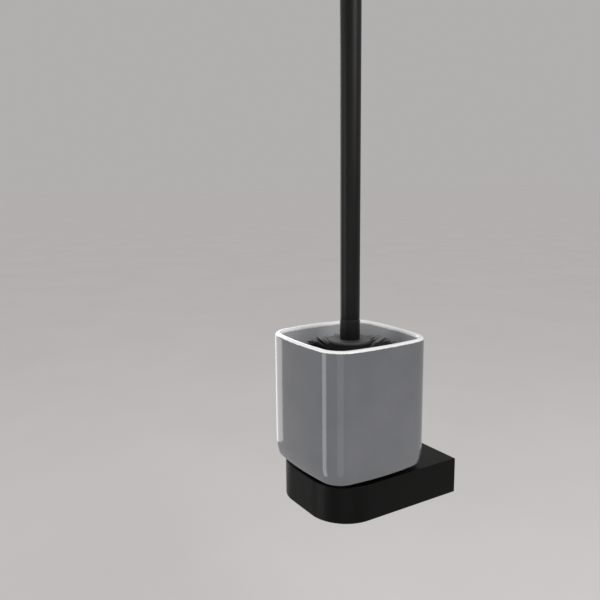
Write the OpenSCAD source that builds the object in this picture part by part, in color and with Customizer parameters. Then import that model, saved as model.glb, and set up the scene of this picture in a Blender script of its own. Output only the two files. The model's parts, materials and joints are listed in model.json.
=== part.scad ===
// Wall-mounted toilet brush set: a bracket on a hidden wall plate, a ceramic cup standing in the
// bracket, and a brush with a round handle that screws into its head.
// Origin: centre of the two wall screw holes, on the wall plane. +X right along the wall,
// +Y into the wall (the object is at y < 0), +Z up. Millimetres.

/* [Display] */
// which node to draw

/* [Bracket] */
// width along the wall
bracket_w = 88; // [80:0.5:100]
// depth out from the wall
bracket_d = 115.5; // [100:0.5:130]
// height
bracket_h = 28; // [20:0.5:36]
// plan radius of the two front corners
bracket_corner_r = 30; // [10:0.5:42]
// small chamfer on the outer edges
bracket_edge = 0.5; // [0.2:0.1:1.5]
// thickness of the side and front walls
bracket_wall = 4; // [2.5:0.5:6]
// web left under the cup recess
recess_web = 3; // [2:0.5:5]
// depth of the recess that the cup's foot stands in
recess_depth = 5; // [3:0.5:7]
// half width of that recess
recess_half = 35; // [30:0.5:38]
// corner radius of that recess
recess_r = 12; // [6:0.5:18]

/* [Underside cover] */
// thickness of the cover
cover_t = 1.6; // [1:0.1:3]
// how far the cover sits above the bracket's lower edge
cover_inset = 0.6; // [0.2:0.1:1.5]
// ledge it rests against, measured in from the outer surface
cover_ledge = 2; // [1:0.5:3]

/* [Wall plate] */
// width of the hidden plate
plate_w = 62; // [50:1:76]
// its thickness out from the wall
plate_t = 6; // [4:0.5:8]
// bottom edge, below the origin
plate_low = 7.5; // [6:0.5:9]
// top edge at the wall side, above the origin
plate_top_back = 7; // [5:0.5:9]
// top edge at the front side: higher, so that the bracket hooks behind it
plate_top_front = 9; // [7:0.5:11]
// distance between the two wall screws
screw_spacing = 40; // [30:1:60]
// diameter of the wall screw holes
screw_hole_d = 5.2; // [4:0.1:6]
// gap round the plate in the bracket's pocket
pocket_gap = 0.2; // [0.1:0.1:0.5]

/* [Set screw] */
// thread diameter
set_d = 4; // [3:1:5]
// distance of its axis from the wall
set_y = 3.8; // [3:0.1:4.5]
// length
set_len = 5.4; // [4:0.2:8]
// hexagon socket across flats
set_hex = 2; // [1.5:0.5:2.5]
// depth of that socket
set_hex_depth = 2.4; // [1.5:0.1:3]

/* [Cup seat] */
// thickness of the soft pad under the cup
pad_t = 1.2; // [0.8:0.1:2]
// half width of the pad
pad_half = 34.4; // [28:0.1:36]
// diameter of the hole in the middle of the pad
pad_hole_d = 30; // [10:1:50]

/* [Cup] */
// plan radius of the vertical corners
cup_corner_r = 18.5; // [10:0.5:25]
// size of the 32-255-257 triangle that sets the corners' centres and the slight bow of the sides
cup_bow_k = 0.845; // [0.7:0.005:0.9]
// distance of the cup's axis from the wall
cup_y = 72; // [65:0.5:80]
// underside of the body, above the origin
cup_low = 16.8; // [15:0.1:20]
// rim, above the origin
cup_top = 115.6; // [100:0.1:130]
// wall thickness
cup_wall = 5; // [3:0.1:7]
// floor thickness
cup_floor = 5.5; // [4:0.5:8]
// tight rounding at the very bottom of the body
cup_low_r = 3.5; // [2:0.5:5]
// how far the body has drawn in where that rounding begins
cup_low_in = 1.5; // [1:0.1:3]
// height over which the body draws in before that
cup_low_h = 6; // [3:0.5:12]
// rounding of the lip, outside and inside
cup_lip_r = 2.3; // [1:0.1:2.4]
// rounding inside, between floor and wall
cup_in_r = 8; // [4:0.5:10]
// half width of the foot
foot_half = 33.5; // [28:0.5:34]
// corner radius of the foot
foot_r = 11; // [6:0.5:16]
// depth of the dish under the foot
foot_dish = 1.5; // [0:0.5:3]

/* [Brush] */
// offset of the brush from the cup's axis: it stands loose
brush_dx = 0.8; // [-2:0.1:2]
// the same, towards the wall
brush_dy = 1; // [-2:0.1:2]
// top of the handle, above the origin
handle_top = 370; // [340:1:400]
// handle diameter at its lower end
handle_d = 14.8; // [12:0.1:20]
// handle diameter at its upper end: it widens a little
handle_top_d = 15.2; // [12:0.1:22]
// wall of the handle tube
handle_wall = 1.2; // [0.8:0.1:2]
// collar diameter
collar_d = 15.2; // [13:0.1:22]
// top of the collar
collar_top = 126.5; // [120:0.5:135]
// thickness of the sealing washer
washer_t = 0.8; // [0.5:0.1:1.5]
// thickness of the handle's end cap
cap_t = 3; // [2:0.5:6]
// how far the cap's plug goes into the tube
cap_plug = 10; // [6:1:20]
// length of the threaded insert in the tube
insert_len = 20; // [14:1:30]

/* [Head] */
// top of the splash disc
disc_top = 112; // [105:0.5:120]
// disc diameter
disc_d = 32.8; // [28:0.2:50]
// disc thickness
disc_t = 2.6; // [1.5:0.1:5]
// stud thread diameter
stud_d = 6; // [5:1:8]
// length of the stud inside the handle
stud_free = 10; // [6:0.5:14]
// length of the stud inside the core
stud_in = 16; // [8:1:30]
// running clearance of the stud in the handle insert, radial
stud_gap = 0.05; // [0.02:0.01:0.1]
// core diameter
core_d = 18; // [12:0.5:26]
// diameter of the hub under the disc
hub_d = 31.6; // [18:0.1:32]
// height of that hub
hub_h = 6.6; // [3:0.1:10]
// lowest point of the bristles
bristle_low = 22.6; // [22.4:0.1:30]
// radius that the bristles reach
bristle_r = 38; // [34:0.5:39]
// height of the top row's roots
row_top = 98; // [90:0.5:108]
// distance from row to row
row_pitch = 9; // [8:0.1:14]
// tufts in a row
tufts = 18; // [12:1:24]
// tuft radius at its root
tuft_root_r = 1.25; // [0.8:0.05:2]
// tuft radius at its tip
tuft_tip_r = 3.6; // [2:0.1:5]
// wall of the ring that carries a row
row_ring = 1.4; // [1:0.1:3]
// height of that ring
row_ring_h = 5; // [3:0.5:9]

/* [Hidden] */
$fn = 96;
over = 1; // cutters pass the surface they open by this
half_h = bracket_h / 2;
recess_z = half_h - recess_depth;
cavity_top = recess_z - recess_web;
pocket_low = -plate_low - pocket_gap;
pocket_back = plate_t + pocket_gap;
rear_bar = pocket_back + bracket_wall;
set_low = pocket_low - set_len;
pad_top = recess_z + pad_t;
// A side's arc centre, a corner's centre and the seam between them lie on one line, so the arcs are
// tangent: corner centre at (32, 32) k, side centre at (32 - 255, 0) k, 257 k apart.
cup_corner_c = 32 * cup_bow_k;
side_x = cup_corner_c - 255 * cup_bow_k;
side_r = cup_corner_r + 257 * cup_bow_k;
floor_z = cup_low + cup_floor;
tube_low = collar_top + washer_t;
disc_low = disc_top - disc_t;
core_low = bristle_low + 8;
tube_in_r = handle_d / 2 - handle_wall;
// tilt of each row's tufts above the horizontal, top row first
row_tilt = [14, 10, 7, 3, 0, -4, -9, -15];
// reach of each row as a share of bristle_r, top row first
row_reach = [1, 1, 1, 1, 1, 0.98, 0.94, 0.84];
black = [0.10, 0.10, 0.10];
grey = [0.45, 0.46, 0.48];
steel = [0.62, 0.63, 0.65];

// Rounded slab: square at the wall, round at the front. in: inset of the outline; e: edge chamfer.
module slab(in, z0, z1, e) {
    w = bracket_w / 2 - in;
    d = bracket_d - in;
    r = bracket_corner_r - in;
    for (s = [-1, 1])
        translate([s * (w - r), -(d - r), 0]) {
            translate([0, 0, z0 + e]) cylinder(h = z1 - z0 - 2 * e, r = r);
            if (e > 0) {
                translate([0, 0, z0]) cylinder(h = e, r1 = r - e, r2 = r);
                translate([0, 0, z1 - e]) cylinder(h = e, r1 = r, r2 = r - e);
            }
        }
    rotate([90, 0, 0])
        linear_extrude(d - r)
            polygon([[-w + e, z0], [w - e, z0], [w, z0 + e], [w, z1 - e], [w - e, z1],
                [-w + e, z1], [-w, z1 - e], [-w, z0 + e]]);
    rotate([90, 0, 90])
        translate([0, 0, -(w - r)])
            linear_extrude(2 * (w - r))
                polygon([[0, z0], [-d + e, z0], [-d, z0 + e], [-d, z1 - e], [-d + e, z1], [0, z1]]);
}

// Square block with round vertical corners, centred on the cup's axis.
module round_block(half, r, z0, z1) {
    translate([0, -cup_y, z0]) {
        for (x = [-1, 1], y = [-1, 1])
            translate([x * (half - r), y * (half - r), 0]) cylinder(h = z1 - z0, r = r);
        translate([-half, -(half - r), 0]) cube([2 * half, 2 * (half - r), z1 - z0]);
        translate([-(half - r), -half, 0]) cube([2 * (half - r), 2 * half, z1 - z0]);
    }
}

module wall_plate() {
    color(steel)
        difference() {
            translate([-plate_w / 2, 0, 0])
                rotate([90, 0, 90])
                    linear_extrude(plate_w)
                        polygon([[0, -plate_low], [-plate_t, -plate_low],
                            [-plate_t, plate_top_front], [0, plate_top_back]]);
            for (s = [-1, 1])
                translate([s * screw_spacing / 2, over, 0])
                    rotate([90, 0, 0]) cylinder(h = plate_t + 2 * over, d = screw_hole_d);
        }
}

module bracket_body() {
    color(black)
        difference() {
            slab(0, -half_h, half_h, bracket_edge);
            // recess for the cup's foot
            round_block(recess_half, recess_r, recess_z, half_h + over);
            // hollow, closed below by the cover
            intersection() {
                slab(bracket_wall, -half_h - over, cavity_top, 0);
                translate([-bracket_w, -bracket_d - over, -bracket_h])
                    cube([2 * bracket_w, bracket_d + over - rear_bar, 2 * bracket_h]);
            }
            // ledge for the cover
            intersection() {
                slab(cover_ledge, -half_h - over, -half_h + cover_inset + cover_t, 0);
                translate([-bracket_w, -bracket_d - over, -bracket_h])
                    cube([2 * bracket_w, bracket_d + over - rear_bar + cover_ledge, 2 * bracket_h]);
            }
            // pocket that hooks over the wall plate
            translate([-plate_w / 2 - pocket_gap, 0, 0])
                rotate([90, 0, 90])
                    linear_extrude(plate_w + 2 * pocket_gap)
                        polygon([[over, pocket_low], [-pocket_back, pocket_low],
                            [-pocket_back, plate_top_front + 2 * pocket_gap],
                            [0, plate_top_back + pocket_gap], [over, plate_top_back + pocket_gap]]);
            // hole for the set screw
            translate([0, -set_y, -half_h - over])
                cylinder(h = half_h + over + pocket_low + over, d = set_d + 0.1);
        }
}

module underside_cover() {
    z0 = -half_h + cover_inset;
    color(black)
        intersection() {
            slab(cover_ledge + 0.1, z0, z0 + cover_t, 0);
            translate([-bracket_w, -bracket_d - over, -bracket_h])
                cube([2 * bracket_w, bracket_d + over - rear_bar + cover_ledge - 0.1,
                    2 * bracket_h]);
        }
}

module set_screw() {
    color(steel)
        translate([0, -set_y, set_low])
            difference() {
                union() {
                    cylinder(h = set_len - 0.7, d = set_d);
                    translate([0, 0, set_len - 0.7])
                        cylinder(h = 0.6, r1 = set_d / 2, r2 = set_d / 2 - 0.6);
                }
                translate([0, 0, -over])
                    cylinder(h = set_hex_depth + over, r = set_hex / sqrt(3), $fn = 6);
            }
}

module seat_pad() {
    color([0.2, 0.2, 0.2])
        difference() {
            round_block(pad_half, recess_r - 0.6, recess_z, pad_top);
            translate([0, -cup_y, recess_z - over]) cylinder(h = pad_t + 2 * over, d = pad_hole_d);
        }
}

// Section of the cup's wall and of the floor beside it. r: outer radius of the side or corner.
module cup_section(r) {
    inner = r - cup_wall;
    low_x = r - cup_low_in - 0.96 * cup_low_r;
    low_z = cup_low + cup_low_r;
    low_z2 = low_z - 0.28 * cup_low_r + 2.4;
    difference() {
        union() {
            translate([inner, cup_low]) square([cup_wall, cup_top - cup_low]);
            translate([r - cup_corner_r + 1, cup_low]) square([cup_corner_r - 2, cup_floor]);
            // rounding between floor and wall
            difference() {
                translate([inner - cup_in_r, floor_z - 1]) square([cup_in_r + 1, cup_in_r + 1]);
                translate([inner - cup_in_r, floor_z + cup_in_r]) circle(r = cup_in_r);
            }
        }
        // draws in towards the bottom, then a tight rounding tangent to a slope of 7 in 24
        difference() {
            translate([low_x, cup_low - over])
                square([r - low_x + over, low_z2 + cup_low_h - cup_low + over]);
            translate([low_x, low_z]) circle(r = cup_low_r);
            polygon([[low_x, low_z], [r - cup_low_in, low_z - 0.28 * cup_low_r],
                [r - cup_low_in + 0.7, low_z2], [r, low_z2 + cup_low_h], [low_x, low_z2 + cup_low_h]]);
        }
        // lip, outside and inside
        difference() {
            translate([r - cup_lip_r, cup_top - cup_lip_r])
                square([cup_lip_r + over, cup_lip_r + over]);
            translate([r - cup_lip_r, cup_top - cup_lip_r]) circle(r = cup_lip_r);
        }
        difference() {
            translate([inner - over, cup_top - cup_lip_r])
                square([cup_lip_r + over, cup_lip_r + over]);
            translate([inner + cup_lip_r, cup_top - cup_lip_r]) circle(r = cup_lip_r);
        }
    }
}

// Slightly bowed sides run tangent into the round corners, all with one section. Side and corner
// meet on a seam through the corner's centre, with a slope of 32 in 255.
module cup() {
    c = cup_corner_c;
    h = cup_top + 2 * over;
    color(grey)
        difference() {
            union() {
                translate([0, -cup_y, 0]) {
                    for (k = [0 : 3])
                        rotate([0, 0, 90 * k]) {
                            intersection() {
                                translate([c, c, 0]) rotate_extrude() cup_section(cup_corner_r);
                                linear_extrude(h)
                                    polygon([[c, c], [c + 25.5, c + 3.2], [c + 25.5, c + 25.5],
                                        [c + 3.2, c + 25.5]]);
                            }
                            intersection() {
                                translate([side_x, 0, 0]) rotate_extrude() cup_section(side_r);
                                linear_extrude(h)
                                    polygon([[c - 25.5, 3.2 - c], [c + 25.5, -c - 3.2],
                                        [c + 25.5, c + 3.2], [c - 25.5, c - 3.2]]);
                            }
                        }
                    translate([-c - 3, -c - 3, cup_low]) cube([2 * c + 6, 2 * c + 6, cup_floor]);
                }
                round_block(foot_half, foot_r, pad_top, cup_low + over);
            }
            round_block(foot_half - 6, foot_r - 5, pad_top - over, pad_top + foot_dish);
        }
}

module at_brush() {
    translate([brush_dx, -cup_y + brush_dy, 0]) children();
}

module brush_core() {
    color(black)
        at_brush()
            difference() {
                union() {
                    translate([0, 0, core_low + 1])
                        cylinder(h = disc_low - core_low - 1, d = core_d);
                    translate([0, 0, core_low])
                        cylinder(h = 1, r1 = core_d / 2 - 1, r2 = core_d / 2);
                    // hub under the disc
                    translate([0, 0, disc_low - hub_h])
                        cylinder(h = 1.2, r1 = hub_d / 2 - 1.2, r2 = hub_d / 2);
                    translate([0, 0, disc_low - hub_h + 1.2]) cylinder(h = hub_h - 1.2, d = hub_d);
                }
                translate([0, 0, disc_low - stud_in]) cylinder(h = stud_in + over, d = stud_d);
            }
}

// One row of tufts on its ring. Rows are numbered from the top.
module row(n) {
    i = n - 1;
    z = row_top - i * row_pitch;
    tilt = row_tilt[i];
    root = core_d / 2 + 0.4;
    tip = bristle_r * row_reach[i] - root;
    // the tip's outer edge, not its axis, ends at the stated reach
    run = (tip - tuft_tip_r * abs(sin(tilt))) / cos(tilt);
    color(black)
        at_brush()
            translate([0, 0, z]) {
                difference() {
                    translate([0, 0, -row_ring_h / 2])
                        cylinder(h = row_ring_h, d = core_d + 2 * row_ring);
                    translate([0, 0, -row_ring_h / 2 - over])
                        cylinder(h = row_ring_h + 2 * over, d = core_d);
                }
                for (k = [0 : tufts - 1])
                    rotate([0, 0, (k + 0.5 * (n % 2)) * 360 / tufts])
                        translate([root, 0, 0])
                            rotate([0, 90 - tilt, 0])
                                cylinder(h = run, r1 = tuft_root_r, r2 = tuft_tip_r);
            }
}

module bristle_row_1() { row(1); }
module bristle_row_2() { row(2); }
module bristle_row_3() { row(3); }
module bristle_row_4() { row(4); }
module bristle_row_5() { row(5); }
module bristle_row_6() { row(6); }
module bristle_row_7() { row(7); }
module bristle_row_8() { row(8); }

// The downward tufts at the end of the core.
module bristle_tip() {
    h = core_low - bristle_low;
    color(black)
        at_brush()
            intersection() {
                union() {
                    translate([0, 0, core_low - 1.5]) cylinder(h = 1.5, r = core_d / 2 - 1.5);
                    translate([0, 0, bristle_low]) cylinder(h = h, r1 = 3.2, r2 = 1.8);
                    for (k = [0 : 7])
                        rotate([0, 0, 45 * k])
                            translate([4, 0, core_low - 1])
                                rotate([0, 140, 0]) cylinder(h = 20, r1 = 1.2, r2 = 3);
                }
                translate([0, 0, bristle_low]) cylinder(h = h, r = bristle_r / 2);
            }
}

module head_stud() {
    low = disc_low - stud_in;
    top = tube_low + stud_free;
    color(steel)
        at_brush() {
            translate([0, 0, low]) cylinder(h = top - low - 0.8, d = stud_d);
            translate([0, 0, top - 0.8]) cylinder(h = 0.8, r1 = stud_d / 2, r2 = stud_d / 2 - 0.8);
        }
}

module splash_disc() {
    r = disc_d / 2;
    color([0.18, 0.17, 0.17])
        at_brush()
            difference() {
                union() {
                    translate([0, 0, disc_low]) cylinder(h = 0.5, r1 = r - 0.5, r2 = r);
                    translate([0, 0, disc_low + 0.5]) cylinder(h = disc_t - 1, r = r);
                    translate([0, 0, disc_top - 0.5]) cylinder(h = 0.5, r1 = r, r2 = r - 0.5);
                }
                translate([0, 0, disc_low - over]) cylinder(h = disc_t + 2 * over, d = stud_d);
            }
}

module neck_collar() {
    r = collar_d / 2;
    color(black)
        at_brush()
            difference() {
                union() {
                    translate([0, 0, disc_top]) cylinder(h = collar_top - disc_top - 0.4, r = r);
                    translate([0, 0, collar_top - 0.4]) cylinder(h = 0.4, r1 = r, r2 = r - 0.4);
                }
                translate([0, 0, disc_top - over])
                    cylinder(h = collar_top - disc_top + 2 * over, d = stud_d);
            }
}

module seal_washer() {
    color([0.15, 0.15, 0.15])
        at_brush()
            translate([0, 0, collar_top])
                difference() {
                    cylinder(h = washer_t, r = handle_d / 2 - 0.2);
                    translate([0, 0, -over])
                        cylinder(h = washer_t + 2 * over, r = stud_d / 2 + 0.4);
                }
}

module handle_insert() {
    color(steel)
        at_brush()
            difference() {
                translate([0, 0, tube_low]) cylinder(h = insert_len, r = tube_in_r);
                translate([0, 0, tube_low - over])
                    cylinder(h = stud_free + 3 + over, r = stud_d / 2 + stud_gap);
            }
}

module handle_tube() {
    h = handle_top - cap_t - tube_low;
    color(black)
        at_brush()
            difference() {
                union() {
                    translate([0, 0, tube_low])
                        cylinder(h = 0.3, r1 = handle_d / 2 - 0.3, r2 = handle_d / 2);
                    translate([0, 0, tube_low + 0.3])
                        cylinder(h = h - 0.3, d1 = handle_d, d2 = handle_top_d);
                }
                translate([0, 0, tube_low - over]) cylinder(h = h + 2 * over, r = tube_in_r);
            }
}

module handle_cap() {
    r = handle_top_d / 2;
    z = handle_top - cap_t;
    color(black)
        at_brush() {
            translate([0, 0, z - cap_plug]) cylinder(h = cap_plug, r = tube_in_r);
            translate([0, 0, z]) cylinder(h = cap_t - 1, r = r);
            translate([0, 0, handle_top - 1]) cylinder(h = 1, r1 = r, r2 = r - 1);
        }
}

wall_plate();
bracket_body();
underside_cover();
set_screw();
seat_pad();
cup();
brush_core();
bristle_row_1();
bristle_row_2();
bristle_row_3();
bristle_row_4();
bristle_row_5();
bristle_row_6();
bristle_row_7();
bristle_row_8();
bristle_tip();
head_stud();
splash_disc();
neck_collar();
seal_washer();
handle_insert();
handle_tube();
handle_cap();
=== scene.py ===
import json
import math
import random

import bmesh
import bpy
from mathutils import Matrix, Quaternion, Vector

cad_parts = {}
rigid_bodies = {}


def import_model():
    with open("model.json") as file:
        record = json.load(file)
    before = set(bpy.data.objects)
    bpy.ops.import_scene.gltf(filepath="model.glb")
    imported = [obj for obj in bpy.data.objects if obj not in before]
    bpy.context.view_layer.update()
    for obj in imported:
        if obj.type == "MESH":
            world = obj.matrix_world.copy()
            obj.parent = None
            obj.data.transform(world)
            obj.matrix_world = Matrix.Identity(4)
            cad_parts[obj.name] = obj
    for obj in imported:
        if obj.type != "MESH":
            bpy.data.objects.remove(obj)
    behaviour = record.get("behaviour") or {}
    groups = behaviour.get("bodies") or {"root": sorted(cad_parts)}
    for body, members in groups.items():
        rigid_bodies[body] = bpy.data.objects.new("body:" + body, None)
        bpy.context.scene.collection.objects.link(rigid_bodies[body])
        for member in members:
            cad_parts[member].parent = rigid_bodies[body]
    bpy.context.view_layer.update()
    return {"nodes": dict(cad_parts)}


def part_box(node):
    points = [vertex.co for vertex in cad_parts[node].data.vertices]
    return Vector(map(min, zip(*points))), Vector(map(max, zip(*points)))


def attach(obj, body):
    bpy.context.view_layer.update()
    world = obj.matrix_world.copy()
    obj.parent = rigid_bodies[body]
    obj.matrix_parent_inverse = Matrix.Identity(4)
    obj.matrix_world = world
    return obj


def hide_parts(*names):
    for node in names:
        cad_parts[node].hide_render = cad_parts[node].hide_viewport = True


# A wall-mounted toilet brush set: a black bracket, a glazed cup and a brush with a round handle.
# Lengths are in metres, in the frame of the CAD model.
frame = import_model()
nodes = frame["nodes"]
mm = 0.001


# ---------------------------------------------------------------- sizes, from the frame
def half_width(node):
    """Half of a node's width, which is the radius of a round one."""
    lo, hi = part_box(node)
    return (hi.x - lo.x) / 2


cup_lo, cup_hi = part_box("cup")
core_lo, core_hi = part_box("brush_core")
disc_lo, disc_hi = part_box("splash_disc")
collar_lo, collar_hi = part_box("neck_collar")
tube_lo, tube_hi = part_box("handle_tube")
cap_lo, cap_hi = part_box("handle_cap")
stud_lo, stud_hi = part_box("head_stud")

brush_x = (core_lo.x + core_hi.x) / 2
brush_y = (core_lo.y + core_hi.y) / 2
cup_x = (cup_lo.x + cup_hi.x) / 2
cup_y = (cup_lo.y + cup_hi.y) / 2
cup_half = half_width("cup")
cup_top = cup_hi.z

stud_r = half_width("head_stud")
disc_r = half_width("splash_disc")
collar_r = half_width("neck_collar")
tube_r = half_width("handle_tube")
tube_low_r = half_width("seal_washer") + 0.2 * mm  # the handle widens upwards
tube_in = half_width("handle_insert")

# The boxes don't give these. They are as in the CAD model.
wall = 5 * mm
cup_low = 16.8 * mm  # underside of the cup's body, above its foot
corner_r = 18.5 * mm
core_r = 9 * mm

# The cup's plan: corner arcs run tangent into slightly bowed sides. The centres of both arcs
# lie on a right-angled triangle of 32, 255 and 257 parts, so that they meet exactly.
bow_part = 0.845 * mm
corner_c = 32 * bow_part
side_c = corner_c - 255 * bow_part
side_r = corner_r + 257 * bow_part
side_angle = math.atan2(32, 255)


# ---------------------------------------------------------------- mesh helpers
def make_object(name, bm, sharp_over=None):
    """Smooth shading, with sharp edges where faces meet at more than sharp_over degrees."""
    bmesh.ops.recalc_face_normals(bm, faces=bm.faces)
    bm.normal_update()
    for face in bm.faces:
        face.smooth = True
    if sharp_over is not None:
        for edge in bm.edges:
            edge.smooth = edge.calc_face_angle(0) <= math.radians(sharp_over)
    mesh = bpy.data.meshes.new(name)
    bm.to_mesh(mesh)
    bm.free()
    obj = bpy.data.objects.new(name, mesh)
    bpy.context.scene.collection.objects.link(obj)
    return obj


def assign(obj, material):
    obj.data.materials.clear()
    obj.data.materials.append(material)


def steps_to(start, end, count):
    """Even steps from start, which is left out, to end."""
    return [start + (end - start) * i / count for i in range(1, count + 1)]


def arc(cx, cz, r, a0, a1, n):
    """Points on an arc from angle a0 to a1, in degrees."""
    return [
        (cx + r * math.cos(math.radians(a0 + (a1 - a0) * i / n)),
         cz + r * math.sin(math.radians(a0 + (a1 - a0) * i / n)))
        for i in range(n + 1)
    ]


def circle(r, z, segments):
    """A ring of points round the brush's axis, or the one point on the axis."""
    if r == 0:
        return [(brush_x, brush_y, z)]
    return [
        (brush_x + r * math.cos(2 * math.pi * i / segments),
         brush_y + r * math.sin(2 * math.pi * i / segments), z)
        for i in range(segments)
    ]


def loft(bm, rings, closed=False):
    """Joins rings of points with faces; a ring of one point is the tip of a fan.

    If closed, the last ring joins the first. If not, both end rings are filled.
    """
    made = [[bm.verts.new(point) for point in ring] for ring in rings]
    count = max(len(ring) for ring in made)
    for a, b in zip(made, made[1:] + made[:1] if closed else made[1:]):
        for i in range(count):
            j = (i + 1) % count
            if len(a) == 1:
                bm.faces.new((a[0], b[j], b[i]))
            elif len(b) == 1:
                bm.faces.new((a[i], a[j], b[0]))
            else:
                bm.faces.new((a[i], a[j], b[j], b[i]))
    if not closed:
        for ring in (made[0][::-1], made[-1]):
            if len(ring) > 1:
                bm.faces.new(ring)
    return made


def rounded(points, r, n):
    """Rounds every corner of a closed profile by about r, in n steps.

    A short edge gives up at most 45% of its length at each end.
    """
    out = []
    count = len(points)
    for i in range(count):
        before, corner, after = (Vector(points[(i + k) % count]) for k in (-1, 0, 1))
        a, b = before - corner, after - corner
        k = min(r, a.length * 0.45, b.length * 0.45)
        a, b = corner + a.normalized() * k, corner + b.normalized() * k
        for j in range(n + 1):
            t = j / n
            q = a * (1 - t) ** 2 + corner * 2 * t * (1 - t) + b * t * t
            out.append((q.x, q.y))
    return out


def lathe(name, profile, closed=True, segments=96, sharp_over=35):
    """A turned piece round the brush's axis. profile holds (radius, height) points."""
    bm = bmesh.new()
    loft(bm, [circle(r, z, segments) for r, z in profile], closed)
    return make_object(name, bm, sharp_over)


# ---------------------------------------------------------------- materials
class Surface:
    """A material being built on object coordinates. Its methods add nodes and return sockets."""

    def __init__(self, name):
        self.material = bpy.data.materials.new(name)
        self.material.use_nodes = True
        self.tree = self.material.node_tree
        self.shader = self.tree.nodes["Principled BSDF"]
        self.place = self.tree.nodes.new("ShaderNodeTexCoord").outputs["Object"]
        self.relief = None

    def put(self, value, socket):
        """Links a socket, or sets a number or colour."""
        if isinstance(value, bpy.types.NodeSocket):
            self.tree.links.new(value, socket)
        elif isinstance(value, tuple):
            socket.default_value = (*value, 1)
        else:
            socket.default_value = value

    def feed(self, **inputs):
        """Puts values on the shader, such as Base_Color for its input Base Color."""
        for key, value in inputs.items():
            self.put(value, self.shader.inputs[key.replace("_", " ")])

    def noise(self, scale, detail=4.0, rough=0.55, place=None):
        """Noise with about scale bumps to a metre."""
        node = self.tree.nodes.new("ShaderNodeTexNoise")
        node.inputs["Scale"].default_value = scale
        node.inputs["Detail"].default_value = detail
        node.inputs["Roughness"].default_value = rough
        self.put(place or self.place, node.inputs["Vector"])
        return node.outputs["Fac"]

    def ramp(self, value, from_min, from_max, to_min, to_max, smooth=False):
        """Carries one range over to another, and holds what lies beyond its ends."""
        node = self.tree.nodes.new("ShaderNodeMapRange")
        if smooth:
            node.interpolation_type = "SMOOTHSTEP"
        node.inputs["From Min"].default_value = from_min
        node.inputs["From Max"].default_value = from_max
        node.inputs["To Min"].default_value = to_min
        node.inputs["To Max"].default_value = to_max
        self.put(value, node.inputs["Value"])
        return node.outputs["Result"]

    def spread(self, value, low, high):
        """The middle of a noise's range, spread from low to high."""
        return self.ramp(value, 0.3, 0.7, low, high)

    def total(self, a, b):
        node = self.tree.nodes.new("ShaderNodeMath")
        node.operation = "ADD"
        self.put(a, node.inputs[0])
        self.put(b, node.inputs[1])
        return node.outputs[0]

    def mix(self, fac, a, b):
        """Mixes two colours. Inputs 6 and 7 and output 2 are the node's sockets for colours."""
        node = self.tree.nodes.new("ShaderNodeMix")
        node.data_type = "RGBA"
        self.put(fac, node.inputs["Factor"])
        self.put(a, node.inputs[6])
        self.put(b, node.inputs[7])
        return node.outputs[2]

    def attribute(self, name):
        node = self.tree.nodes.new("ShaderNodeAttribute")
        node.attribute_name = name
        return node.outputs["Fac"]

    def bump(self, height, distance, strength):
        """Adds relief, on top of what an earlier call added."""
        node = self.tree.nodes.new("ShaderNodeBump")
        node.inputs["Strength"].default_value = strength
        node.inputs["Distance"].default_value = distance
        self.put(height, node.inputs["Height"])
        if self.relief is not None:
            self.put(self.relief, node.inputs["Normal"])
        self.relief = node.outputs["Normal"]
        self.put(self.relief, self.shader.inputs["Normal"])


def glaze_material():
    """Grey glaze with faint clouds and a few specks. It thins to white on the lip, in streaks.
    Its inside is painted much paler, as painted light standing in for the light inside the cup.
    """
    low, high, speck = (0.120, 0.124, 0.135), (0.135, 0.139, 0.151), (0.12, 0.123, 0.133)
    painted_inner_light, lip_white = (0.50, 0.51, 0.53), (0.85, 0.85, 0.85)
    glass_ior = 1.52
    s = Surface("cup_glaze")
    grey = s.mix(s.spread(s.noise(38, 3), 0, 1), low, high)
    grey = s.mix(s.ramp(s.noise(700, 2), 0.66, 0.74, 0, 0.3), grey, speck)
    inside = s.attribute("inside")
    # painted light: the cup's inner walls are mixed mostly to a pale grey, standing in for the
    # light that falls and bounces inside the cup
    grey = s.mix(inside, grey, s.mix(0.84, grey, painted_inner_light))
    lip_depth = s.attribute("lip_depth")
    wander = s.spread(s.noise(210, 4, 0.7), -0.16, 0.16)
    thin = s.ramp(s.total(lip_depth, wander), 0.80, 1.18, 1, 0, smooth=True)
    s.feed(Base_Color=s.mix(thin, grey, lip_white))
    s.feed(Roughness=s.spread(s.noise(70), 0.045, 0.085), IOR=glass_ior)
    s.bump(s.noise(420, 3), 0.004 * mm, 0.5)
    s.bump(s.noise(45, 2), 0.05 * mm, 0.5)
    return s.material


def powder_material(name, low, high, rough, gloss, grain=1600):
    """Matte powder coat: fine orange peel, slightly paler grains."""
    s = Surface(name)
    s.feed(Specular_IOR_Level=gloss)
    colour = s.mix(s.spread(s.noise(55), 0, 1), low, high)
    grains = s.noise(grain, 2)
    pale = tuple(2.2 * c for c in high)
    s.feed(Base_Color=s.mix(s.ramp(grains, 0.62, 0.75, 0, 0.4), colour, pale))
    s.feed(Roughness=s.spread(s.noise(300, 3), *rough))
    s.bump(grains, 0.03 * mm, 0.5)
    s.bump(s.noise(420, 2), 0.05 * mm, 0.35)
    return s.material


def plastic_material(name, low, high, rough, gloss):
    """Moulded plastic with a fine cell grain."""
    s = Surface(name)
    s.feed(Specular_IOR_Level=gloss)
    s.feed(Base_Color=s.mix(s.spread(s.noise(90), 0, 1), low, high))
    s.feed(Roughness=s.spread(s.noise(220, 3), *rough))
    cells = s.tree.nodes.new("ShaderNodeTexVoronoi")
    cells.inputs["Scale"].default_value = 1500
    s.put(s.place, cells.inputs["Vector"])
    s.bump(cells.outputs["Distance"], 0.02 * mm, 0.4)
    return s.material


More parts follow.
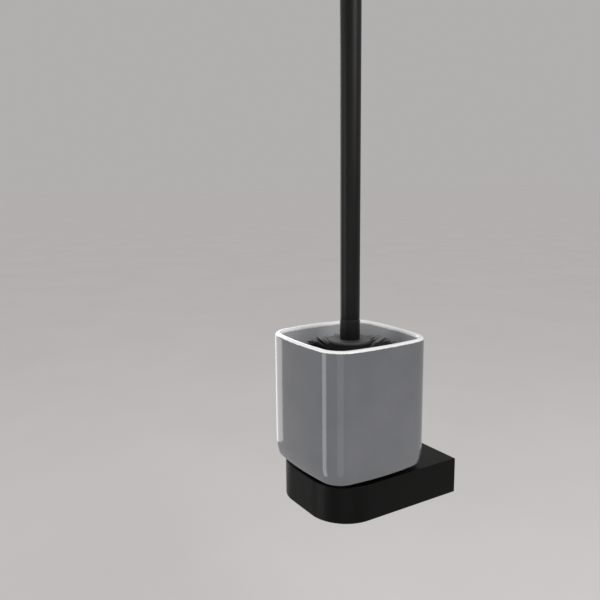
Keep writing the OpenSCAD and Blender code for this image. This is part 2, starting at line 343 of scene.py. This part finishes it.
def steel_material(name, stretch):
    """Brushed steel: noise drawn out to fine lines along the axis with the smallest stretch."""
    low, high, stain_tone = (0.50, 0.50, 0.51), (0.66, 0.66, 0.67), (0.40, 0.39, 0.38)
    s = Surface(name)
    mapping = s.tree.nodes.new("ShaderNodeMapping")
    mapping.inputs["Scale"].default_value = stretch
    s.put(s.place, mapping.inputs["Vector"])
    lines = s.noise(1, 3, place=mapping.outputs["Vector"])
    colour = s.mix(s.spread(lines, 0, 1), low, high)
    stain = s.ramp(s.noise(45), 0.55, 0.75, 0, 0.3)
    s.feed(Base_Color=s.mix(stain, colour, stain_tone), Metallic=1)
    s.feed(Roughness=s.spread(lines, 0.26, 0.42))
    s.bump(lines, 0.01 * mm, 0.5)
    return s.material


def rubber_material(name, low, high):
    """Dull rubber with a soft uneven skin."""
    s = Surface(name)
    s.feed(Base_Color=s.mix(s.spread(s.noise(130), 0, 1), low, high))
    s.feed(Roughness=s.spread(s.noise(400, 3), 0.65, 0.85))
    s.bump(s.noise(900, 2), 0.03 * mm, 0.5)
    return s.material


def bristle_material():
    """Black nylon, with filaments of slightly different tones."""
    low, high = (0.004, 0.004, 0.004), (0.013, 0.012, 0.012)
    s = Surface("bristle_nylon")
    s.feed(Base_Color=s.mix(s.spread(s.noise(260, 3), 0, 1), low, high))
    s.feed(Roughness=s.spread(s.noise(800, 2), 0.4, 0.55), Specular_IOR_Level=0.3)
    s.bump(s.noise(2500, 2), 0.01 * mm, 0.4)
    return s.material


glaze = glaze_material()
# darkest tone, palest tone, least and most roughness, gloss
black_coat = powder_material(
    "bracket_black", (0.0012, 0.0012, 0.0011), (0.0020, 0.0020, 0.0019), (0.38, 0.45), 0.10)
handle_coat = powder_material(
    "handle_black", (0.0040, 0.0038, 0.0037), (0.0051, 0.0048, 0.0047), (0.38, 0.45), 0.19, 1900)
black_plastic = plastic_material(
    "black_plastic", (0.0080, 0.0080, 0.0080), (0.0105, 0.0105, 0.0105), (0.5, 0.58), 0.25)
disc_plastic = plastic_material(
    "disc_plastic", (0.036, 0.033, 0.033), (0.048, 0.045, 0.044), (0.5, 0.6), 0.5)
plate_steel = steel_material("plate_steel", (6, 900, 900))
screw_steel = steel_material("screw_steel", (900, 900, 6))
pad_rubber = rubber_material("pad_rubber", (0.030, 0.030, 0.031), (0.048, 0.047, 0.047))
washer_rubber = rubber_material(
    "washer_rubber", (0.0035, 0.0035, 0.0035), (0.0060, 0.0060, 0.0060))
nylon = bristle_material()


# ---------------------------------------------------------------- cup
least_corner = 1.5 * mm  # the tightest corner that a ring may have


def cup_outline(inset, per_corner=20, per_side=14):
    """Plan of the cup's wall, inset from the outer surface, counter-clockwise."""
    corner, side = corner_r - inset, side_r - inset
    quarter = []
    # from the middle of the side facing +X to the corner, the corner, then half the next side
    for i in range(per_side):
        a = side_angle * i / per_side
        quarter.append((side_c + side * math.cos(a), side * math.sin(a)))
    for i in range(per_corner):
        a = side_angle + (math.pi / 2 - 2 * side_angle) * i / per_corner
        quarter.append((corner_c + corner * math.cos(a), corner_c + corner * math.sin(a)))
    for i in range(per_side):
        a = side_angle * (1 - i / per_side)
        quarter.append((side * math.sin(a), side_c + side * math.cos(a)))
    points = []
    for k in range(4):
        c, s = math.cos(k * math.pi / 2), math.sin(k * math.pi / 2)
        points += [(c * x - s * y, s * x + c * y) for x, y in quarter]
    return points


def cup_ring(inset, z):
    """One ring of the cup's surface. Past its tightest corner it shrinks towards the axis."""
    limit = corner_r - least_corner
    outline = cup_outline(min(inset, limit))
    if inset > limit:
        k = 1 - (inset - limit) / (cup_half - limit)
        outline = [(x * k, y * k) for x, y in outline]
    return [(cup_x + x, cup_y + y, z) for x, y in outline]


def in_square(x, y, half, r):
    """Whether a point is inside a square with corners of radius r."""
    qx, qy = x - (half - r), y - (half - r)
    if qx > 0 and qy > 0:
        return math.hypot(qx, qy) <= r
    return x <= half and y <= half


def square_ring(half, r, z):
    """A round-cornered square whose points lie in the same directions as the cup's."""
    out = []
    for x, y, _ in cup_ring(0, z):
        a = math.atan2(y - cup_y, x - cup_x)
        dx, dy = math.cos(a), math.sin(a)
        # close in on the square's edge in this direction
        lo, hi = 0.0, 2 * half
        for _ in range(40):
            mid = (lo + hi) / 2
            if in_square(abs(dx * mid), abs(dy * mid), half, r):
                lo = mid
            else:
                hi = mid
        out.append((cup_x + dx * lo, cup_y + dy * lo, z))
    return out


def make_cup():
    low_r, lip_r, floor_r = 3.5 * mm, 2.3 * mm, 8 * mm  # roundings: underside, lip, inner floor
    draw_in = 1.5 * mm  # how far the wall runs in towards the bottom
    slope_sin, slope_cos = 0.28, 0.96
    slope = math.asin(slope_sin)
    floor_z = cup_low + 5.5 * mm
    lip_low = cup_top - lip_r
    band = cup_top - 5 * mm  # where the finer rings near the lip start
    white_out, white_in = 1.5 * mm, 2.4 * mm  # how far the lip's white reaches down the sides
    no_white = 4.0
    rings, depths = [], []

    def ring(points, reach=None):
        """Adds a ring, with its depth below the top counted in reaches of the white."""
        rings.append(points)
        depths.append(no_white if reach is None else (cup_top - points[0][2]) / reach)

    # under the foot, from the middle of its dish outwards, then up to the body:
    # half width, corner radius and height in mm
    for half, r, z in (
            (4, 1.4, 1.5), (14, 5, 1.5), (22, 5.4, 1.5), (27.1, 5.6, 1.5), (27.5, 6, 1.1),
            (27.7, 6.2, 0.4), (28.3, 6.8, 0), (32.6, 10.1, 0), (33.2, 10.7, 0.3), (33.5, 11, 0.9),
            (33.5, 11, 5.9), (33.7, 11.2, 6.4), (34.2, 11.7, 6.6)):
        ring(square_ring(half * mm, r * mm, cup_lo.z + z * mm))
    # tight rounding at the bottom, then a long one that runs up into the wall
    low_in = draw_in + slope_cos * low_r
    long_r = draw_in / (1 - math.cos(slope))
    straight_z = cup_low + low_r - slope_sin * low_r + long_r * math.sin(slope)
    ring(cup_ring(low_in + 1.0 * mm, cup_low))
    for inset, z in arc(low_in, cup_low + low_r, low_r, 270, 180 + math.degrees(slope), 8):
        ring(cup_ring(inset, z))
    for a in steps_to(slope, 0, 8):
        ring(cup_ring(long_r * (1 - math.cos(a)), straight_z - long_r * math.sin(a)))
    for z in steps_to(straight_z, band, 8):
        ring(cup_ring(0, z))
    # over the lip
    for z in steps_to(band, lip_low, 8):
        ring(cup_ring(0, z), white_out)
    for inset, z in arc(lip_r, lip_low, lip_r, 180, 90, 12)[1:]:
        ring(cup_ring(inset, z), white_out)
    outer_rings = len(rings)
    for inset, z in arc(wall - lip_r, lip_low, lip_r, 90, 0, 12):
        ring(cup_ring(inset, z), white_in)
    for z in steps_to(lip_low, band, 8):
        ring(cup_ring(wall, z), white_in)
    # down the inside to the floor
    for z in steps_to(band, floor_z + floor_r, 11):
        ring(cup_ring(wall, z))
    for inset, z in arc(wall + floor_r, floor_z + floor_r, floor_r, 180, 270, 10)[1:]:
        ring(cup_ring(inset, z))
    for inset in (15.5, 17, 25, 34, 42):
        ring(cup_ring(inset * mm, floor_z))

    bm = bmesh.new()
    lip_depth = bm.verts.layers.float.new("lip_depth")
    inside = bm.verts.layers.float.new("inside")
    for i, (row, depth) in enumerate(zip(loft(bm, rings), depths)):
        for v in row:
            v[lip_depth] = depth
            # marks the inner walls, which the glaze paints paler as painted light
            v[inside] = 1.0 if i >= outer_rings else 0.0
    return make_object("ceramic_cup", bm)


cup_obj = make_cup()
assign(cup_obj, glaze)
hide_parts("cup")
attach(cup_obj, "cup")


# ---------------------------------------------------------------- turned pieces of the brush
disc = lathe("splash_disc_turned", rounded([
    (stud_r, disc_lo.z), (disc_r - 0.7 * mm, disc_lo.z), (disc_r, disc_lo.z + 0.7 * mm),
    (disc_r, disc_hi.z - 0.5 * mm), (disc_r - 0.5 * mm, disc_hi.z), (stud_r, disc_hi.z)],
    0.4 * mm, 4))
assign(disc, disc_plastic)
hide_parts("splash_disc")
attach(disc, "head")

collar = lathe("neck_collar_turned", rounded([
    (stud_r, collar_lo.z), (collar_r, collar_lo.z), (collar_r, collar_hi.z),
    (stud_r, collar_hi.z)], 0.45 * mm, 4))
assign(collar, handle_coat)
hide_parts("neck_collar")
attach(collar, "head")

tube = lathe("handle_tube_drawn", rounded([
    (tube_in, tube_lo.z), (tube_low_r, tube_lo.z), (tube_r, tube_hi.z), (tube_in, tube_hi.z)],
    0.3 * mm, 4))
assign(tube, handle_coat)
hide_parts("handle_tube")
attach(tube, "handle")

# the cap's rounded top, the fine joint where it meets the tube, and the plug inside the tube
cap_r, plug_edge = 1.3 * mm, 0.6 * mm
cap = lathe("handle_cap_turned", [
    (0, cap_hi.z), *arc(tube_r - cap_r, cap_hi.z - cap_r, cap_r, 90, 0, 8),
    (tube_r, tube_hi.z + 0.25 * mm), (tube_r - 0.2 * mm, tube_hi.z + 0.02 * mm),
    (tube_in, tube_hi.z), (tube_in, cap_lo.z + plug_edge), (tube_in - plug_edge, cap_lo.z),
    (0, cap_lo.z)], closed=False)
assign(cap, handle_coat)
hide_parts("handle_cap")
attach(cap, "handle")


def threaded(name, low, high, r, pitch, depth, segments=48, steps=8):
    """A rod on the brush's axis with a real helical thread, which runs out at both ends."""
    run_out = 0.8 * mm
    count = int((high - low) / pitch * steps)
    rings = []
    for i in range(count + 1):
        z = low + (high - low) * i / count
        fade = max(0, min(1, (z - low) / run_out, (high - z) / run_out))
        ring = []
        for j in range(segments):
            a = 2 * math.pi * j / segments
            wave = 0.5 + 0.5 * math.cos(2 * math.pi * ((z - low) / pitch - j / segments))
            thread_r = r - depth * (1 - wave * fade)
            ring.append((brush_x + thread_r * math.cos(a), brush_y + thread_r * math.sin(a), z))
        rings.append(ring)
    bm = bmesh.new()
    loft(bm, rings)
    return make_object(name, bm, sharp_over=50)


stud = threaded("head_stud_threaded", stud_lo.z, stud_hi.z, stud_r, 1.0 * mm, 0.55 * mm)
assign(stud, screw_steel)
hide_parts("head_stud")
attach(stud, "head")


# ---------------------------------------------------------------- bristles
row_top, row_pitch = 98 * mm, 9 * mm
row_tilts = (14, 10, 7, 3, 0, -4, -9, -15)  # degrees above level, from the top row down
tufts, strands = 18, 4  # tufts in a row, filaments in a clump
# clumps in a tuft: the photo shows only the top two rows, so those are denser
seen_rows, seen_clumps, hidden_clumps = 2, 16, 8
# how far a clump turns from its tuft's middle and a filament from its clump's, in radians
clump_aside, clump_above = 0.15, 0.085
strand_aside, strand_above = 0.045, 0.035
tuft_mm, scatter_mm = 0.9, 0.25  # the same at the root, in mm


def filament(bm, root, direction, bend, length, thick, sides=3, steps=4):
    """One bent filament, thinner at its tip. bend is its sideways and upward curve."""
    side = direction.cross(Vector((0, 0, 1))).normalized()
    up = side.cross(direction).normalized()
    rings = []
    for i in range(steps + 1):
        t = i / steps
        centre = root + direction * (length * t)
        centre += (side * bend[0] + up * bend[1]) * (length * t * t)
        r = thick * (1 - 0.4 * t)
        angles = [2 * math.pi * j / sides for j in range(sides)]
        rings.append([centre + side * (r * math.cos(a)) + up * (r * math.sin(a)) for a in angles])
    loft(bm, rings)


def bristle_piece(name, bm, node):
    """Makes the object and holds every tip inside the box of the CAD node it replaces."""
    lo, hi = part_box(node)
    reach = min(hi.x - lo.x, hi.y - lo.y) / 2
    obj = make_object(name, bm)
    for v in obj.data.vertices:
        v.co.z = min(max(v.co.z, lo.z), hi.z)
        off = Vector((v.co.x - brush_x, v.co.y - brush_y))
        if off.length > reach:
            off *= reach / off.length
            v.co.x, v.co.y = brush_x + off.x, brush_y + off.y
    assign(obj, nylon)
    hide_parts(node)
    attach(obj, "head")


def bristle_row(index):
    """A ring round the core, with tufts of filaments that stand in clumps."""
    node = f"bristle_row_{index}"
    lo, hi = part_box(node)
    reach = min(hi.x - lo.x, hi.y - lo.y) / 2
    tilt = math.radians(row_tilts[index - 1])
    root_z = row_top - (index - 1) * row_pitch
    rng = random.Random(40 + index)
    bm = bmesh.new()
    ring_half, ring_r = 2.5 * mm, core_r + 1.4 * mm
    profile = rounded([(core_r, root_z - ring_half), (ring_r, root_z - ring_half),
                       (ring_r, root_z + ring_half), (core_r, root_z + ring_half)], 0.5 * mm, 3)
    loft(bm, [circle(r, z, 48) for r, z in profile], closed=True)
    start_r = ring_r - 0.6 * mm
    for k in range(tufts):
        # odd rows are turned by half a tuft
        a0 = 2 * math.pi * (k + 0.5 * (index % 2)) / tufts + rng.uniform(-0.02, 0.02)
        out = Vector((math.cos(a0), math.sin(a0), 0))
        across = Vector((-math.sin(a0), math.cos(a0), 0))
        for _ in range(seen_clumps if index <= seen_rows else hidden_clumps):
            # a clump's place in the round tuft, sideways and upwards, from -1 to 1
            u, w = math.sqrt(rng.random()), rng.uniform(0, 2 * math.pi)
            aside, above = u * math.cos(w), u * math.sin(w)
            clump_bend = (rng.uniform(-0.15, 0.15), rng.uniform(-0.07, 0.08))
            clump_length = rng.uniform(0.86, 1.0)
            for _ in range(strands):
                a = a0 + aside * clump_aside + rng.uniform(-strand_aside, strand_aside)
                rise = tilt + above * clump_above + rng.uniform(-strand_above, strand_above)
                direction = Vector((math.cos(a) * math.cos(rise), math.sin(a) * math.cos(rise),
                                    math.sin(rise)))
                root = Vector((brush_x, brush_y, root_z)) + out * start_r
                scatter = rng.uniform(-scatter_mm, scatter_mm) * mm
                root += across * (aside * tuft_mm * mm + scatter)
                scatter = rng.uniform(-scatter_mm, scatter_mm) * mm
                root += Vector((0, 0, above * tuft_mm * mm + scatter))
                length = (reach - start_r) / math.cos(rise) * clump_length
                length *= rng.uniform(0.94, 0.998)
                bend = (clump_bend[0] + rng.uniform(-0.03, 0.03),
                        clump_bend[1] + rng.uniform(-0.02, 0.02))
                filament(bm, root, direction, bend, length, rng.uniform(0.19, 0.26) * mm)
    bristle_piece(f"bristles_row_{index}", bm, node)


def bristle_end():
    """The downward filaments at the end of the core, and the plug that holds them."""
    lo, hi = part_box("bristle_tip")
    rng = random.Random(77)
    bm = bmesh.new()
    top, tuft_r = hi.z - 1.0 * mm, 6.0 * mm
    for _ in range(230):
        a = rng.uniform(0, 2 * math.pi)
        r = tuft_r * math.sqrt(rng.random())
        lean = 0.15 + 0.75 * r / tuft_r
        root = Vector((brush_x + r * math.cos(a), brush_y + r * math.sin(a), top))
        direction = Vector((math.cos(a) * math.sin(lean), math.sin(a) * math.sin(lean),
                            -math.cos(lean)))
        length = (top - lo.z - 0.1 * mm) / math.cos(lean) * rng.uniform(0.85, 0.97)
        bend = (rng.uniform(-0.08, 0.08), rng.uniform(-0.05, 0.05))
        filament(bm, root, direction, bend, length, rng.uniform(0.17, 0.23) * mm)
    plug_r = core_r - 1.6 * mm
    loft(bm, [circle(r, z, 32) for r, z in (
        (plug_r - 0.5 * mm, hi.z - 1.4 * mm), (plug_r, hi.z - 0.9 * mm), (plug_r, hi.z))])
    bristle_piece("bristles_end", bm, "bristle_tip")


for row_index in range(1, len(row_tilts) + 1):
    bristle_row(row_index)
bristle_end()

# ---------------------------------------------------------------- CAD nodes that stay
for name, material in (
        ("wall_plate", plate_steel), ("bracket_body", black_coat),
        ("underside_cover", black_plastic), ("set_screw", screw_steel),
        ("seat_pad", pad_rubber), ("brush_core", black_plastic),
        ("seal_washer", washer_rubber), ("handle_insert", screw_steel)):
    assign(nodes[name], material)

# ---------------------------------------------------------------- floor
floor_drop, floor_half = 0.286, 60
floor_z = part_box("bracket_body")[0].z - floor_drop
bm = bmesh.new()
bmesh.ops.create_grid(bm, x_segments=8, y_segments=8, size=floor_half)
floor = make_object("floor", bm)
floor.location = (0, 0, floor_z)
pale = Surface("floor_pale")
tone = pale.spread(pale.noise(3, 3), 0, 1)
pale.feed(Base_Color=pale.mix(tone, (0.78, 0.765, 0.755), (0.81, 0.795, 0.785)),
          Roughness=0.95, Specular_IOR_Level=0.1)
assign(floor, pale.material)

# ---------------------------------------------------------------- camera
# Fitted to the object's contours in the photo. The heading turns from +Y towards -X.
heading, pitch, roll = math.radians(58.124), math.radians(9.902), math.radians(-0.601)
camera_place = Vector((0.39656, -0.36142, 0.22746))
focal_pixels, frame_pixels, sensor_mm = 659.94, 600, 36

cam_data = bpy.data.cameras.new("camera")
cam = bpy.data.objects.new("camera", cam_data)
bpy.context.scene.collection.objects.link(cam)
right = Vector((math.cos(heading), math.sin(heading), 0))
ahead = Vector((-math.sin(heading), math.cos(heading), 0))
up_z = Vector((0, 0, 1))
look = ahead * math.cos(pitch) - up_z * math.sin(pitch)
up = ahead * math.sin(pitch) + up_z * math.cos(pitch)
cam_x = right * math.cos(roll) + up * math.sin(roll)
cam_y = up * math.cos(roll) - right * math.sin(roll)
place = Matrix((cam_x, cam_y, -look)).transposed().to_4x4()
place.translation = camera_place
cam.matrix_world = place
cam_data.sensor_width = sensor_mm
cam_data.lens = focal_pixels * sensor_mm / frame_pixels
cam_data.clip_start = 0.01
bpy.context.scene.camera = cam


# ---------------------------------------------------------------- light
def area_light(name, at, towards, width, height, power):
    """A white rectangle that the camera doesn't see."""
    data = bpy.data.lights.new(name, "AREA")
    data.shape = "RECTANGLE"
    data.size, data.size_y = width, height
    data.energy = power
    obj = bpy.data.objects.new(name, data)
    bpy.context.scene.collection.objects.link(obj)
    obj.location = at
    obj.rotation_mode = "QUATERNION"
    obj.rotation_quaternion = (Vector(towards) - Vector(at)).to_track_quat("-Z", "Y")
    obj.visible_camera = False
    return obj


def around(direction, distance, z):
    """A place at a compass direction, in degrees from +X, round the cup."""
    d = math.radians(direction)
    return (cup_x + distance * math.cos(d), cup_y + distance * math.sin(d), z)


def panel(name, direction, distance, width, low, high, power, lean=0):
    """An upright panel facing the cup, from height low to high, leaning sideways by degrees."""
    z = (low + high) / 2
    obj = area_light(name, around(direction, distance, z), (cup_x, cup_y, z), width, high - low,
                     power)
    obj.rotation_quaternion = obj.rotation_quaternion @ Quaternion((0, 0, 1), math.radians(lean))
    return obj


# name, direction, distance, width, lowest and highest point, watts
panels = (
    panel("left_panel", 175.2, 0.74, 0.78, floor_z + 0.024, 0.53, 3.1, lean=-2),
    panel("front_strip", 258, 0.42, 0.15, floor_z + 0.012, 0.40, 0.85),
    panel("faint_strip", 326, 0.45, 0.20, floor_z + 0.012, 0.42, 0.26, lean=3),
)
# The panels are only there for their reflections on the object, so they leave the floor alone.
lit = bpy.data.collections.new("lit_pieces")
bpy.context.scene.collection.children.link(lit)
for piece in list(bpy.context.scene.objects):
    if piece.type == "MESH" and piece is not floor:
        lit.objects.link(piece)
for light in panels:
    light.light_linking.receiver_collection = lit

soft_size, soft_distance, soft_height, aim_height = 0.8, 1.15, 0.80, 0.08
for name, direction, power in (("soft_left", 238, 1.2), ("soft_right", 12, 8.6)):
    area_light(name, around(direction, soft_distance, soft_height), (cup_x, cup_y, aim_height),
               soft_size, soft_size, power)

# The camera sees the backdrop a little darker than it lights, so that it meets the floor's tone.
studio_grey = (0.60, 0.59, 0.585, 1)
world = bpy.data.worlds.new("studio")
bpy.context.scene.world = world
world.use_nodes = True
tree = world.node_tree
surround = tree.nodes["Background"]
backdrop = tree.nodes.new("ShaderNodeBackground")
for shader, strength in ((surround, 0.92), (backdrop, 0.73)):
    shader.inputs["Color"].default_value = studio_grey
    shader.inputs["Strength"].default_value = strength
chooser = tree.nodes.new("ShaderNodeMixShader")
light_path = tree.nodes.new("ShaderNodeLightPath")
tree.links.new(light_path.outputs["Is Camera Ray"], chooser.inputs["Fac"])
tree.links.new(surround.outputs[0], chooser.inputs[1])
tree.links.new(backdrop.outputs[0], chooser.inputs[2])
tree.links.new(chooser.outputs[0], tree.nodes["World Output"].inputs["Surface"])
bpy.context.scene.view_settings.view_transform = "Standard"
